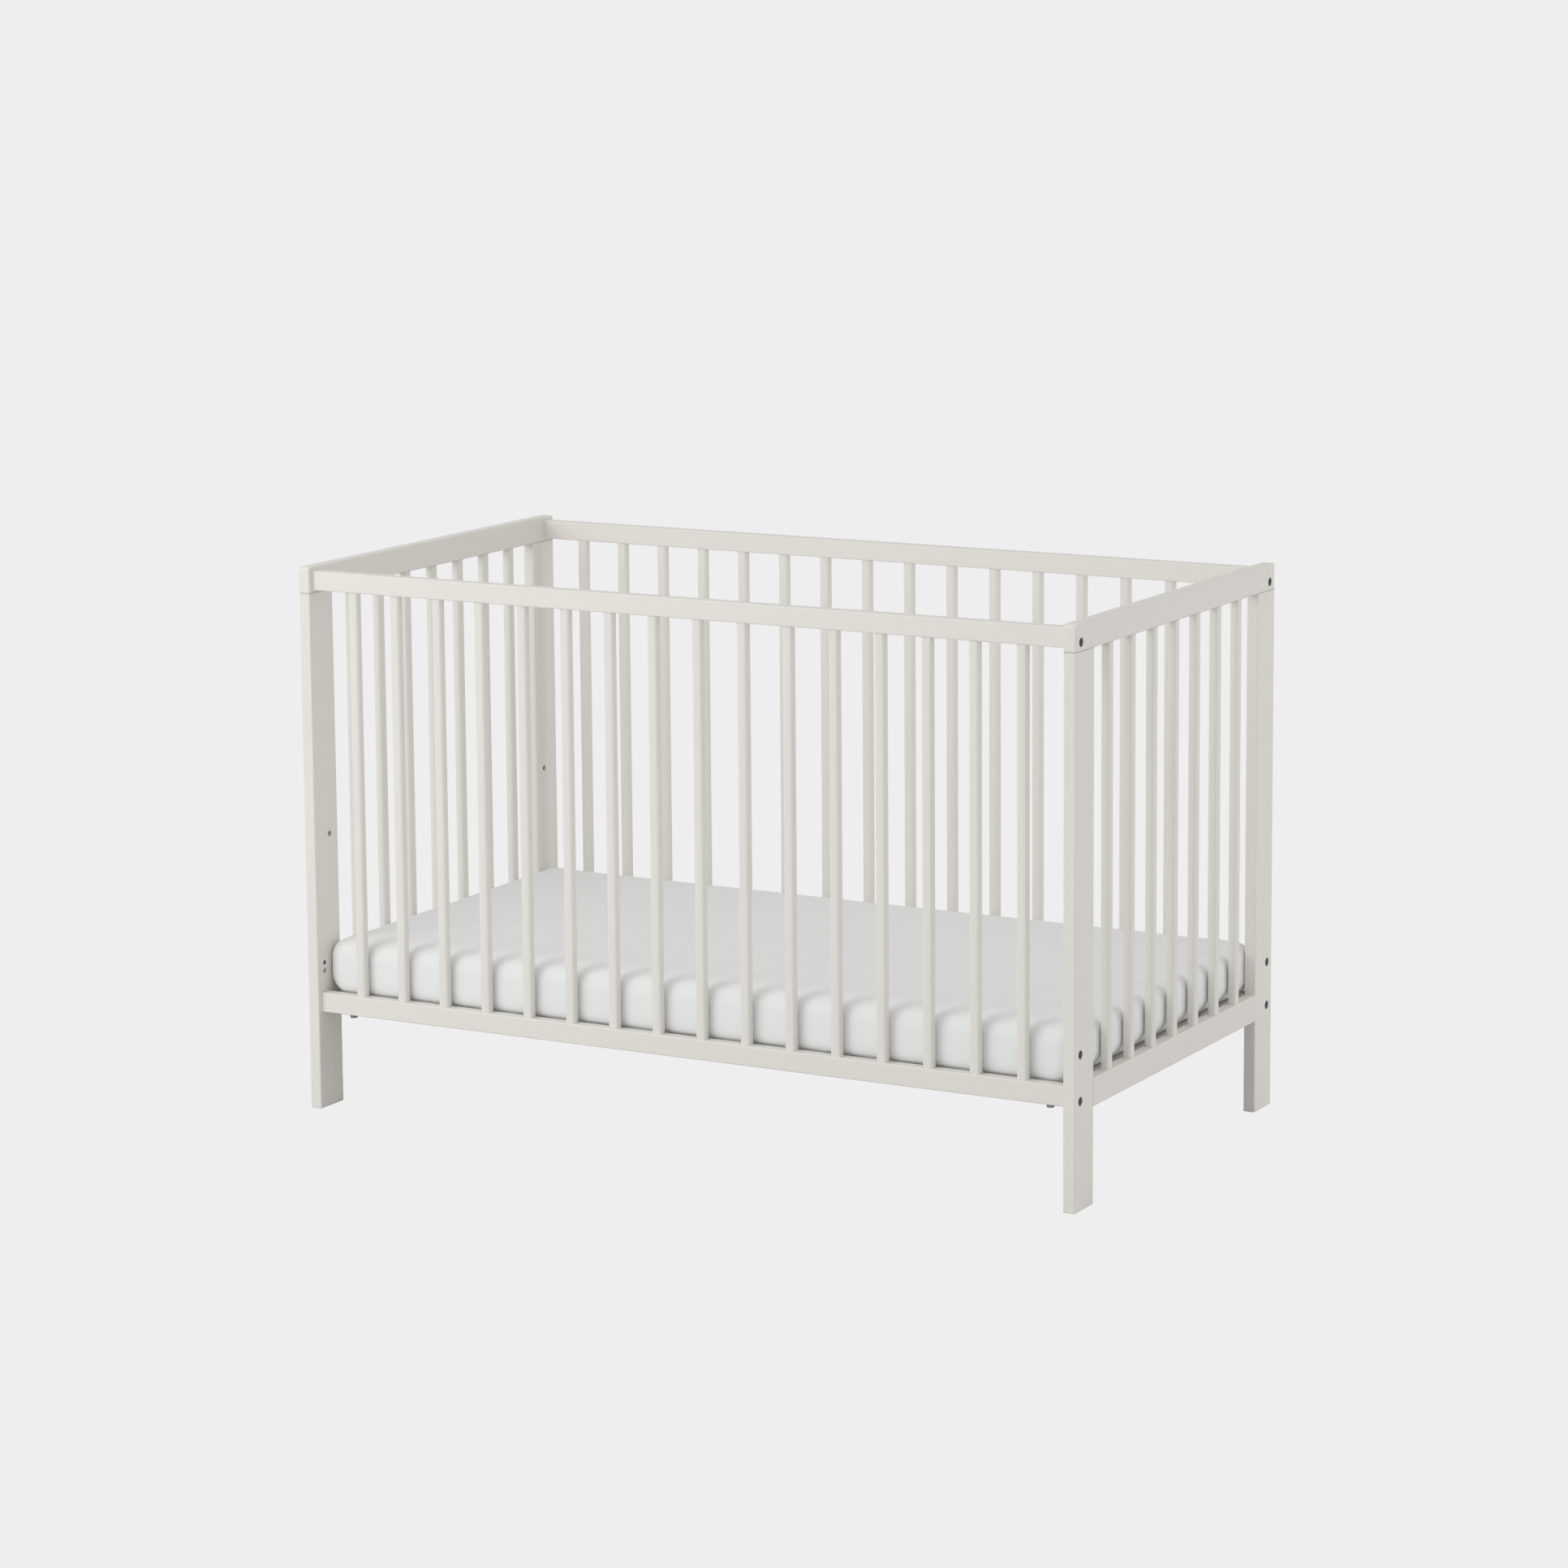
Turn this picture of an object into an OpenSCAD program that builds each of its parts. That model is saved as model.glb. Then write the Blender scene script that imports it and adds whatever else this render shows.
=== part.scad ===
// A baby crib for a 600 x 1200 mm mattress. Two slatted end panels stand on two legs each, and two
// slatted side panels are bolted between them. A slatted bed base is held by studs that stand in the
// legs' inner faces, and a mattress in a fitted sheet lies on it.
// The crib stands on z = 0. Its length runs along x, its front is at -y, and the origin is on the
// floor under its middle. Sizes are in millimetres. "In" means in from the crib's outer faces.

/* [Overall] */
// Length over the two end panels
crib_len = 1240; // [1000:5:1600]
// Width over the end panels
crib_wid = 660; // [560:5:900]
// Height of the end panels
crib_h = 800; // [600:5:1000]

/* [End panels] */
// Thickness of the boards of an end panel
board_t = 18; // [16:0.5:26]
// Width of a leg
leg_w = 58; // [54:1:90]
// Height of the end top rail, which lies on the legs
end_top_h = 38; // [34:1:60]
// Height of the end low rail, which stands between the legs
end_low_h = 39; // [34:1:60]
// Height of the end low rail's underside above the floor
end_low_z = 135.5; // [90:0.5:200]
// Radius of the upper corners of an end panel
corner_r = 6; // [3:0.5:12]
// Radius of the boards' long edges
edge_r = 2; // [1:0.5:4]
// Radius of the fine edges where two boards meet in line
joint_r = 0.6; // [0.3:0.1:1]

/* [Side panels] */
// Thickness of a side rail
side_t = 18; // [16:0.5:26]
// How far a side panel is set back from the legs' edges
side_back = 8; // [4:0.5:14]
// Height of the side top rail
side_top_h = 28; // [24:1:50]
// Height of the side low rail
side_low_h = 29; // [24:1:50]
// How far the side top rail lies below the top of the end panels
side_drop = 6; // [2:1:10]
// Height of the side low rail's underside above the floor
side_low_z = 144; // [100:1:200]

/* [Slats] */
// Width of a slat, seen from outside the crib
slat_w = 16; // [12:1:30]
// Thickness of a slat
slat_t = 13; // [9:0.5:15]
// Radius of a slat's long edges
slat_r = 4.5; // [2:0.5:5]
// Slats in a side panel
side_slats = 16; // [10:1:18]
// Slats in an end panel
end_slats = 7; // [4:1:8]
// Gap between a leg and the first slat of a side panel
side_gap = 59; // [50:1:70]
// Gap between a leg and the first slat of an end panel
end_gap = 51; // [40:1:70]
// How deep a slat's ends are let into the rails
slat_in = 12; // [8:1:14]
// Clearance around a slat in its mortise
slat_fit = 0.1; // [0.05:0.05:0.3]

/* [Bolts and dowels] */
// Thread diameter of all bolts
bolt_d = 6; // [5:1:8]
// How much wider a bolt's clearance hole is than the bolt
way_fit = 1; // [0.5:0.5:2]
// Diameter of a bolt head
head_d = 11; // [9:0.5:12]
// Height of a bolt head
head_h = 5; // [3:0.5:6]
// Width across the flats of a bolt's hex socket
socket_af = 5; // [4:0.5:6]
// Depth of a bolt's hex socket
socket_deep = 3; // [2:0.5:4]
// How much wider the sunk seat of a rail bolt is than the bolt's head
sink_fit = 1.5; // [0.5:0.5:4]
// Depth of the sunk seat of a rail bolt's head
sink_deep = 10; // [6:0.5:11]
// Height of a rail bolt's axis above its rail's underside
bolt_up = 8; // [7:0.5:12]
// Distance between a side rail's barrel nut and its first slat, along the rail
nut_to_slat = 7; // [5:1:15]
// Diameter of a barrel nut
nut_d = 10; // [9:0.5:12]
// Length of a barrel nut, which stands upright in a side rail
nut_len = 14; // [12:0.5:15]
// Screwdriver slot in the lower end of a nut: width and depth
nut_slot = 1.2; // [0.8:0.1:2]
// How far a bolt's tip stands out past its nut
tip_out = 3; // [1:0.5:4]
// Diameter of all dowels
dowel_d = 8; // [6:1:8]
// How much wider a hole is than the dowel or the nut in it
peg_fit = 0.1; // [0.05:0.05:0.3]
// Distance from a rail bolt's axis up to the axis of its locating dowel
dowel_up = 12; // [11:0.5:14]
// Depth of a locating dowel in the end panel
dowel_in_end = 10; // [8:1:12]
// Depth of a locating dowel in a rail
dowel_in_rail = 20; // [15:1:30]
// Depth of an end panel's glued dowels on each side of the joint
panel_dowel_in = 15; // [12:1:15]
// Height of the spare rail holes above the holes in use
spare_up = 64; // [50:1:120]

/* [Bed base] */
// How far the base's top lies below the top of the end low rails
base_down = 7; // [0:0.5:12]
// Height between the base's low place and its high place
base_step = 255; // [150:1:300]
// Clearance all round between the base and the panels
base_gap = 2; // [1:0.5:5]
// Thickness of the base's two long rails
base_rail_t = 18; // [16:1:22]
// Height of the base's long rails
base_long_h = 20; // [18:1:40]
// Base slats
base_slats = 10; // [8:1:12]
// Width of a base slat
base_slat_w = 70; // [60:1:80]
// Thickness of a base slat
base_slat_t = 8; // [7:0.5:12]
// Diameter of a lock nut
lock_d = 11; // [10:0.5:13]
// Distance from an end panel's inner face to a lock nut's axis
lock_in = 36; // [30:1:38]
// How far a lock nut reaches up past its stud's axis
lock_up = 6.5; // [5:0.5:8]
// How far a lock nut stands out below its rail
lock_out = 6; // [2:0.5:12]
// Length of a threaded insert in a leg
insert_len = 12; // [8:1:12]
// Wall of a threaded insert around the bolt
insert_wall = 1.5; // [1:0.25:2]
// How far a base stud's tip stays short of the bottom of its insert
stud_short = 2; // [1:0.5:4]
// Shank diameter of a base slat's screw
screw_d = 3.5; // [3:0.5:4]
// Length of a base slat's screw
screw_len = 22; // [16:1:24]
// Distance from a base slat's inner edge to its screws
screw_edge = 15; // [10:1:20]

/* [Mattress] */
// Thickness of the mattress in its sheet
mattress_t = 82.5; // [60:0.5:120]
// Gap between the mattress and an end panel
mattress_end_gap = 1; // [1:0.5:10]
// Gap between the mattress and a side panel
mattress_side_gap = 1; // [1:0.5:10]
// Radius of the mattress's upper edges
mattress_top_r = 18; // [12:1:28]
// Radius of the mattress's corners and of the lower edges of its ends
mattress_low_r = 28; // [12:1:30]
// Radius of the mattress's lower edges along the side panels
mattress_side_r = 18; // [12:1:28]
// Thickness of the fitted sheet
sheet_t = 1; // [0.5:0.1:2]
// How far the fitted sheet reaches under the mattress
sheet_under = 70; // [40:5:120]
// Clearance between the sheet and the bed base
sheet_clear = 0.3; // [0.3:0.1:1]

/* [Hidden] */
$fn = 48;
past = 1;

// where the end panels' pieces are
top_z = crib_h - end_top_h;
end_low_mid = end_low_z + end_low_h / 2;
end_x = crib_len / 2 - board_t / 2;
leg_y = crib_wid / 2 - leg_w / 2;
rail_span = crib_wid - 2 * leg_w;

// where the side panels' pieces are
side_len = crib_len - 2 * board_t;
side_y = crib_wid / 2 - side_back - side_t / 2;
side_top_z = crib_h - side_drop - side_top_h;
low_bolt_z = side_low_z + bolt_up;
top_bolt_z = side_top_z + bolt_up;
spare_bolt_z = low_bolt_z + spare_up;
nut_in = side_gap - nut_to_slat - nut_d / 2;
nut_x = side_len / 2 - nut_in;

// slats: places along the panel, counted from its middle, and heights
side_first = side_len / 2 - side_gap - slat_w / 2;
side_pitch = 2 * side_first / (side_slats - 1);
end_first = rail_span / 2 - end_gap - slat_w / 2;
end_pitch = 2 * end_first / (end_slats - 1);
side_slat_z = side_low_z + side_low_h - slat_in;
side_slat_len = side_top_z + slat_in - side_slat_z;
end_slat_z = end_low_z + end_low_h - slat_in;
end_slat_len = top_z + slat_in - end_slat_z;

// bolts: their holes are wider than they are, and a rail bolt reaches through its nut
way_d = bolt_d + way_fit;
sink_d = head_d + sink_fit;
insert_d = bolt_d + 2 * insert_wall;
rail_bolt_len = board_t - sink_deep + nut_in + nut_d / 2 + tip_out;
bolt_hole_deep = nut_in + nut_d / 2 + tip_out + 2;
panel_dowel_y = [leg_w / 2 + 3, leg_w - 10];
panel_dowel_z = 12;

// bed base: its slats lie on the long rails, and its studs are at half the long rails' height
base_top = end_low_z + end_low_h - base_down;
base_half_wid = side_y - side_t / 2 - base_gap;
base_len = side_len - 2 * base_gap;
base_long_y = base_half_wid - base_rail_t / 2;
base_long_z = base_top - base_slat_t - base_long_h;
stud_z = base_long_z + base_long_h / 2;
lock_x = side_len / 2 - lock_in;
lock_len = base_long_h / 2 + lock_out + lock_up;
stud_len = insert_len - stud_short + lock_in + lock_d / 3;
stud_hole_deep = lock_in - base_gap + lock_d / 2 + 1;
base_first = (base_len - base_slat_w) / 2;
base_pitch = 2 * base_first / (base_slats - 1);
screw_in = base_slat_w / 2 - screw_edge;
screw_head_d = 2 * screw_d;

// mattress in its sheet
soft_len = side_len - 2 * mattress_end_gap;
soft_wid = crib_wid - 2 * (side_back + side_t + mattress_side_gap);
soft_z = base_top + sheet_clear;

ENDS = [["left", -1], ["right", 1]];
SIDES = [["front", -1], ["rear", 1]];

function two_digits(i) = i < 10 ? str("0", i) : str(i);

// the waste outside a rounded corner at the origin, with the wood towards -x and -y
module corner_waste(r) {
    difference() {
        translate([-r, -r]) square(r + past);
        translate([-r, -r]) circle(r);
    }
}

// a rectangle about the origin with its upper and its lower corners rounded
module soft_rect(w, h, r_up, r_low) {
    difference() {
        square([w, h], center = true);
        for (side = [0, 1]) mirror([side, 0]) {
            if (r_up > 0) translate([w / 2, h / 2]) corner_waste(r_up);
            if (r_low > 0) mirror([0, 1]) translate([w / 2, h / 2]) corner_waste(r_low);
        }
    }
}

// an upright board on z = 0: its plan, its x-z outline and its y-z outline each have rounded corners
module soft_board(size, plan_r, xz_up, xz_low, yz_up, yz_low) {
    intersection() {
        linear_extrude(size.z) soft_rect(size.x, size.y, plan_r, plan_r);
        translate([0, size.y / 2, size.z / 2]) rotate([90, 0, 0])
            linear_extrude(size.y) soft_rect(size.x, size.z, xz_up, xz_low);
        translate([-size.x / 2, 0, size.z / 2]) rotate([90, 0, 90])
            linear_extrude(size.x) soft_rect(size.y, size.z, yz_up, yz_low);
    }
}

// a rail along x with rounded long edges, standing on z = 0
module rail_x(len, t, h, r) {
    translate([-len / 2, 0, h / 2]) rotate([90, 0, 90]) linear_extrude(len) soft_rect(t, h, r, r);
}

// a rail along y with rounded long edges, standing on z = 0
module rail_y(len, t, h, r) {
    translate([0, len / 2, h / 2]) rotate([90, 0, 0]) linear_extrude(len) soft_rect(t, h, r, r);
}

// turns what points up so that it points in from the end panel e, or in from the side panel s
module inward_x(e) { rotate([0, -90 * e, 0]) children(); }
module inward_y(s) { rotate([90 * s, 0, 0]) children(); }

// runs once for each corner of the crib, with $e = -1 at the left end and $s = -1 at the front
module each_corner() {
    for ($e = [-1, 1]) for ($s = [-1, 1]) children();
}

// the way of a rail bolt through an end panel, with the sunk seat of its head
module bolt_way(e, y, z) {
    translate([e * crib_len / 2, y, z]) inward_x(e) {
        translate([0, 0, -past]) cylinder(d = sink_d, h = sink_deep + past);
        cylinder(d = way_d, h = board_t + past);
    }
}

// the blind hole of a locating dowel in an end panel's inner face
module end_dowel_hole(e, y, z) {
    translate([e * (side_len / 2 - past), y, z]) inward_x(-e)
        cylinder(d = dowel_d + peg_fit, h = dowel_in_end + past);
}

// an outline of a slat, and of the mortise that takes it with clearance
module slat_outline(fit) { soft_rect(slat_w + 2 * fit, slat_t + 2 * fit, slat_r + fit, slat_r + fit); }

// the mortises of a panel's slats, along x: from z = 0 up by the depth of the slats' ends
module mortises(first, pitch, count) {
    for (i = [0 : count - 1]) translate([i * pitch - first, 0, 0])
        linear_extrude(slat_in + past) slat_outline(slat_fit);
}

module slat(z, len) { translate([0, 0, z]) linear_extrude(len) slat_outline(0); }

module leg(e, s) {
    rail_hole_y = s * side_y;
    color("ivory") difference() {
        translate([e * end_x, s * leg_y, 0])
            soft_board([board_t, leg_w, top_z], edge_r, joint_r, edge_r, joint_r, edge_r);
        for (z = [low_bolt_z, spare_bolt_z]) bolt_way(e, rail_hole_y, z);
        end_dowel_hole(e, rail_hole_y, low_bolt_z + dowel_up);
        end_dowel_hole(e, rail_hole_y, spare_bolt_z - dowel_up);
        for (z = [stud_z, stud_z + base_step])
            translate([e * (side_len / 2 - past), s * base_long_y, z]) inward_x(-e)
                cylinder(d = insert_d, h = insert_len + past);
        for (y = panel_dowel_y)
            translate([e * end_x, s * (crib_wid / 2 - y), top_z - panel_dowel_in])
                cylinder(d = dowel_d + peg_fit, h = panel_dowel_in + past);
        for (up = [-1, 1])
            translate([e * end_x, s * (rail_span / 2 - past), end_low_mid + up * panel_dowel_z])
                inward_y(-s) cylinder(d = dowel_d + peg_fit, h = panel_dowel_in + past);
    }
}

module end_top_rail(e) {
    color("ivory") difference() {
        translate([e * end_x, 0, top_z])
            soft_board([board_t, crib_wid, end_top_h], edge_r, edge_r, joint_r, corner_r, joint_r);
        for (s = [-1, 1]) {
            bolt_way(e, s * side_y, top_bolt_z);
            end_dowel_hole(e, s * side_y, top_bolt_z + dowel_up);
            for (y = panel_dowel_y)
                translate([e * end_x, s * (crib_wid / 2 - y), top_z - past])
                    cylinder(d = dowel_d + peg_fit, h = panel_dowel_in + past);
        }
        translate([e * end_x, 0, top_z - past]) rotate([0, 0, 90])
            mortises(end_first, end_pitch, end_slats);
    }
}

module end_low_rail(e) {
    color("ivory") difference() {
        translate([e * end_x, 0, end_low_z]) rail_y(rail_span, board_t, end_low_h, edge_r);
        for (s = [-1, 1]) for (up = [-1, 1])
            translate([e * end_x, s * (rail_span / 2 + past), end_low_mid + up * panel_dowel_z])
                inward_y(s) cylinder(d = dowel_d + peg_fit, h = panel_dowel_in + past);
        translate([e * end_x, 0, end_slat_z]) rotate([0, 0, 90])
            mortises(end_first, end_pitch, end_slats);
    }
}

// the holes in a side rail's ends for its bolts and its locating dowels
module rail_end_holes(s, bolt_z) {
    for (e = [-1, 1]) {
        translate([e * (side_len / 2 + past), s * side_y, bolt_z]) inward_x(e)
            cylinder(d = way_d, h = bolt_hole_deep + past);
        translate([e * (side_len / 2 + past), s * side_y, bolt_z + dowel_up]) inward_x(e)
            cylinder(d = dowel_d + peg_fit, h = dowel_in_rail + past);
    }
}

// a side rail on z = low, before its mortises are cut
module side_rail(s, low, h) {
    difference() {
        translate([0, s * side_y, low]) rail_x(side_len, side_t, h, edge_r);
        rail_end_holes(s, low + bolt_up);
        for (e = [-1, 1]) translate([e * nut_x, s * side_y, low - past])
            cylinder(d = nut_d + peg_fit, h = bolt_up + nut_len / 2 + past);
    }
}

module side_top_rail(s) {
    color("ivory") difference() {
        side_rail(s, side_top_z, side_top_h);
        translate([0, s * side_y, side_top_z - past]) mortises(side_first, side_pitch, side_slats);
    }
}

module side_low_rail(s) {
    color("ivory") difference() {
        side_rail(s, side_low_z, side_low_h);
        translate([0, s * side_y, side_slat_z]) mortises(side_first, side_pitch, side_slats);
    }
}

module side_slat(s, i) {
    color("ivory") translate([(i - 1) * side_pitch - side_first, s * side_y, 0])
        slat(side_slat_z, side_slat_len);
}

module end_slat(e, i) {
    color("ivory") translate([e * end_x, (i - 1) * end_pitch - end_first, 0]) rotate([0, 0, 90])
        slat(end_slat_z, end_slat_len);
}

module rear_slats() { for (i = [1 : side_slats]) side_slat(1, i); }

// a bolt whose head's underside is at z = 0 and whose tip points up
module bolt(len) {
    tip = bolt_d / 6;
    cylinder(d = bolt_d, h = len - tip);
    translate([0, 0, len - tip]) cylinder(d1 = bolt_d, d2 = bolt_d - 2 * tip, h = tip);
    translate([0, 0, -head_h]) difference() {
        cylinder(d = head_d, h = head_h);
        translate([0, 0, -past]) cylinder(d = socket_af / cos(30), h = socket_deep + past, $fn = 6);
    }
}

module rail_bolts() {
    color("silver") each_corner() for (z = [low_bolt_z, top_bolt_z])
        translate([$e * (crib_len / 2 - sink_deep), $s * side_y, z]) inward_x($e) bolt(rail_bolt_len);
}

// an upright nut with its slotted end on z = 0 and a cross hole for thread or stud along x
module cross_nut(d, len, hole_z) {
    difference() {
        cylinder(d = d, h = len);
        translate([0, 0, hole_z]) rotate([0, 90, 0]) cylinder(d = bolt_d, h = d + 2 * past, center = true);
        cube([d + 2 * past, nut_slot, 2 * nut_slot], center = true);
    }
}

module rail_barrel_nuts() {
    color("silver") each_corner() for (z = [low_bolt_z, top_bolt_z])
        translate([$e * nut_x, $s * side_y, z - nut_len / 2]) cross_nut(nut_d, nut_len, nut_len / 2);
}

module rail_dowels() {
    color("burlywood") each_corner() for (z = [low_bolt_z, top_bolt_z])
        translate([$e * (side_len / 2 + dowel_in_end), $s * side_y, z + dowel_up]) inward_x($e)
            cylinder(d = dowel_d, h = dowel_in_end + dowel_in_rail);
}

module panel_dowels() {
    color("burlywood") each_corner() {
        for (y = panel_dowel_y)
            translate([$e * end_x, $s * (crib_wid / 2 - y), top_z - panel_dowel_in])
                cylinder(d = dowel_d, h = 2 * panel_dowel_in);
        for (up = [-1, 1])
            translate([$e * end_x, $s * (rail_span / 2 + panel_dowel_in), end_low_mid + up * panel_dowel_z])
                inward_y($s) cylinder(d = dowel_d, h = 2 * panel_dowel_in);
    }
}

// the way of a base slat's screw, from the slat's top down
module screw_shape() {
    cone = (screw_head_d - screw_d) / 2;
    translate([0, 0, -screw_len]) cylinder(d = screw_d, h = screw_len);
    translate([0, 0, -cone]) cylinder(d1 = screw_d, d2 = screw_head_d, h = cone);
}

module each_screw() {
    for (i = [0 : base_slats - 1]) {
        x = i * base_pitch - base_first;
        for (s = [-1, 1]) translate([x - sign(x) * screw_in, s * base_long_y, base_top]) children();
    }
}

module base_long_rail(s) {
    color("white") difference() {
        translate([0, s * base_long_y, base_long_z]) rail_x(base_len, base_rail_t, base_long_h, edge_r);
        for (e = [-1, 1]) {
            translate([e * (base_len / 2 + past), s * base_long_y, stud_z]) inward_x(e)
                cylinder(d = way_d, h = stud_hole_deep + past);
            translate([e * lock_x, s * base_long_y, base_long_z - past])
                cylinder(d = lock_d + peg_fit, h = base_long_h / 2 + lock_up + past);
        }
        each_screw() screw_shape();
    }
}

module base_slats() {
    color("white") difference() {
        for (i = [0 : base_slats - 1])
            translate([i * base_pitch - base_first, 0, base_top - base_slat_t])
                rail_y(2 * base_half_wid, base_slat_w, base_slat_t, edge_r);
        each_screw() screw_shape();
    }
}

// headless studs: screwed into the legs, and held in the long rails by the lock nuts
module base_studs() {
    color("silver") each_corner()
        translate([$e * (side_len / 2 + insert_len - stud_short), $s * base_long_y, stud_z]) inward_x($e)
            cylinder(d = bolt_d, h = stud_len);
}

module base_lock_nuts() {
    color("silver") each_corner()
        translate([$e * lock_x, $s * base_long_y, base_long_z - lock_out])
            cross_nut(lock_d, lock_len, lock_out + base_long_h / 2);
}

// threaded inserts in the legs' inner faces, two in each leg, for the base's low and high places
module leg_inserts() {
    color("goldenrod") each_corner() for (z = [stud_z, stud_z + base_step])
        translate([$e * side_len / 2, $s * base_long_y, z]) inward_x(-$e) difference() {
            cylinder(d = insert_d, h = insert_len);
            translate([0, 0, -past]) cylinder(d = bolt_d, h = insert_len + 2 * past);
        }
}

module base_screws() {
    slot_len = screw_head_d * 0.7;
    color("silver") each_screw() difference() {
        screw_shape();
        for (turn = [0, 90]) rotate([0, 0, turn]) cube([slot_len, screw_d / 4, screw_d / 2], center = true);
    }
}

// the closed shape of the mattress in its sheet, less an even layer all over
module soft_pad(layer) {
    r_up = mattress_top_r - layer;
    r_low = mattress_low_r - layer;
    r_side = mattress_side_r - layer;
    size = [soft_len, soft_wid, mattress_t] - 2 * layer * [1, 1, 1];
    translate([0, 0, soft_z + layer]) soft_board(size, r_low, r_up, r_low, r_up, r_side);
}

module mattress() { color("whitesmoke") soft_pad(sheet_t); }

module fitted_sheet() {
    color("white") difference() {
        soft_pad(0);
        soft_pad(sheet_t);
        translate([0, 0, soft_z]) cube([
            soft_len - 2 * sheet_under, soft_wid - 2 * sheet_under, 4 * sheet_t
        ], center = true);
    }
}

for (s = SIDES) for (e = ENDS)
    leg(e[1], s[1]);
for (e = ENDS) {
    end_top_rail(e[1]);
    end_low_rail(e[1]);
    for (i = [1 : end_slats])
        end_slat(e[1], i);
}
for (s = SIDES) {
    side_top_rail(s[1]);
    side_low_rail(s[1]);
    base_long_rail(s[1]);
}
for (i = [1 : side_slats])
    side_slat(-1, i);
rear_slats();
base_slats();
mattress();
fitted_sheet();
rail_bolts();
rail_barrel_nuts();
rail_dowels();
panel_dowels();
base_studs();
base_lock_nuts();
leg_inserts();
base_screws();
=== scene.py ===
# %% [markdown]
# # A baby crib in painted wood
# The crib is a plain slatted one: two end panels on flat legs, two side panels bolted between them, a
# slatted base under a mattress, and a smooth fitted sheet. The wooden parts arrive finished in shape from
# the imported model, so this lesson gives them paint and grain, and it models what a CAD solid shows badly:
# turned hardware with sockets and threads, a mattress that swells, and a sheet that is cut and gathered.

import math
from contextlib import contextmanager

import bmesh
import bpy
import numpy as np
from mathutils import Matrix, Vector, noise


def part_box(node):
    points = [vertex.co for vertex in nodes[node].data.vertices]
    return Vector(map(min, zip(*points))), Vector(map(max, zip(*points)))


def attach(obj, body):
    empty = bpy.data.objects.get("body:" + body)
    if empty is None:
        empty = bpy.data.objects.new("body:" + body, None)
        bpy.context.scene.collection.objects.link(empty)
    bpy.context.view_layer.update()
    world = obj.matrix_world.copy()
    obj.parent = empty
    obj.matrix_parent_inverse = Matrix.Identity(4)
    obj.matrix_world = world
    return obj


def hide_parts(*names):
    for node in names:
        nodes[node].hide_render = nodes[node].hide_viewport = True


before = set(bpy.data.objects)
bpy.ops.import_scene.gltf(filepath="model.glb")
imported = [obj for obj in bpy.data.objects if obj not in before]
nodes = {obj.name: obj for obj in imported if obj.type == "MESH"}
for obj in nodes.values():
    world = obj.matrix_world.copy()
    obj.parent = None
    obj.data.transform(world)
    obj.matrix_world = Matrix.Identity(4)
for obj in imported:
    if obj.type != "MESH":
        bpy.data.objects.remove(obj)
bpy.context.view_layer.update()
MM = 0.001

# %% [markdown]
# ## The camera
# A crib is looked at by a standing parent, from a few steps away and from one corner. A long lens from
# there keeps the uprights nearly parallel. The camera's axes are worked out from three angles, which is
# easier to read than a rotation matrix typed in by hand.

# %% Camera
EYE = Vector((3.231, -5.766, 1.722))
TURN, TILT, LEAN = (math.radians(a) for a in (28.32, 8.72, -0.30))
LENS, SENSOR, SHIFT = 106.5, 36, (-0.05, -0.1)  # lens and sensor width in millimetres

ahead = Vector((-math.sin(TURN) * math.cos(TILT), math.cos(TURN) * math.cos(TILT), -math.sin(TILT)))
level = Vector((math.cos(TURN), math.sin(TURN), 0))
upward = level.cross(ahead)
across = level * math.cos(LEAN) + upward * math.sin(LEAN)
above = upward * math.cos(LEAN) - level * math.sin(LEAN)

bpy.ops.object.select_all(action="DESELECT")
bpy.ops.object.camera_add(location=EYE)
camera = bpy.context.object
camera.rotation_euler = Matrix((across, above, -ahead)).transposed().to_euler()
camera.data.lens, camera.data.sensor_width = LENS, SENSOR
camera.data.shift_x, camera.data.shift_y = SHIFT
bpy.context.scene.camera = camera
print("the camera is", round(EYE.length, 2), "m from the crib's foot")

# %% [markdown]
# ## Studio
# White furniture against white needs light that is nearly even, with one side a little brighter, so that
# each face of a board has its own tone. A bright surround does most of the work, a large soft panel in
# front gives direction, and a small one low at the right lifts the ends. The surround looks paler than
# the light it gives, and the floor takes the same tone, so no horizon line shows.

# %% Floor, surround and lamps
BACKDROP = 0.855  # the pale tone seen behind the crib
SURROUND = 0.67  # the light that the same surround gives
FLOOR = 0.75  # the share of light that the floor sends back

scene = bpy.context.scene
scene.view_settings.view_transform = "Standard"
world = scene.world or bpy.data.worlds.new("studio")
scene.world = world
world.use_nodes = True
world.node_tree.nodes.clear()


def seen_or_lit(tree, seen, lit):
    """Mixes two shaders: one for what the camera sees directly, and one for the light that it gives."""
    path = tree.nodes.new("ShaderNodeLightPath")
    mix = tree.nodes.new("ShaderNodeMixShader")
    tree.links.new(path.outputs["Is Camera Ray"], mix.inputs[0])
    tree.links.new(lit.outputs[0], mix.inputs[1])
    tree.links.new(seen.outputs[0], mix.inputs[2])
    return mix


def glow(tree, kind, tone):
    """A plain light-giving shader node of that brightness."""
    node = tree.nodes.new(kind)
    node.inputs["Color"].default_value = (tone, tone, tone, 1)
    return node


tree = world.node_tree
seen, lit = (glow(tree, "ShaderNodeBackground", tone) for tone in (BACKDROP, SURROUND))
mixed = seen_or_lit(tree, seen, lit)
tree.links.new(mixed.outputs[0], tree.nodes.new("ShaderNodeOutputWorld").inputs["Surface"])

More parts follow.
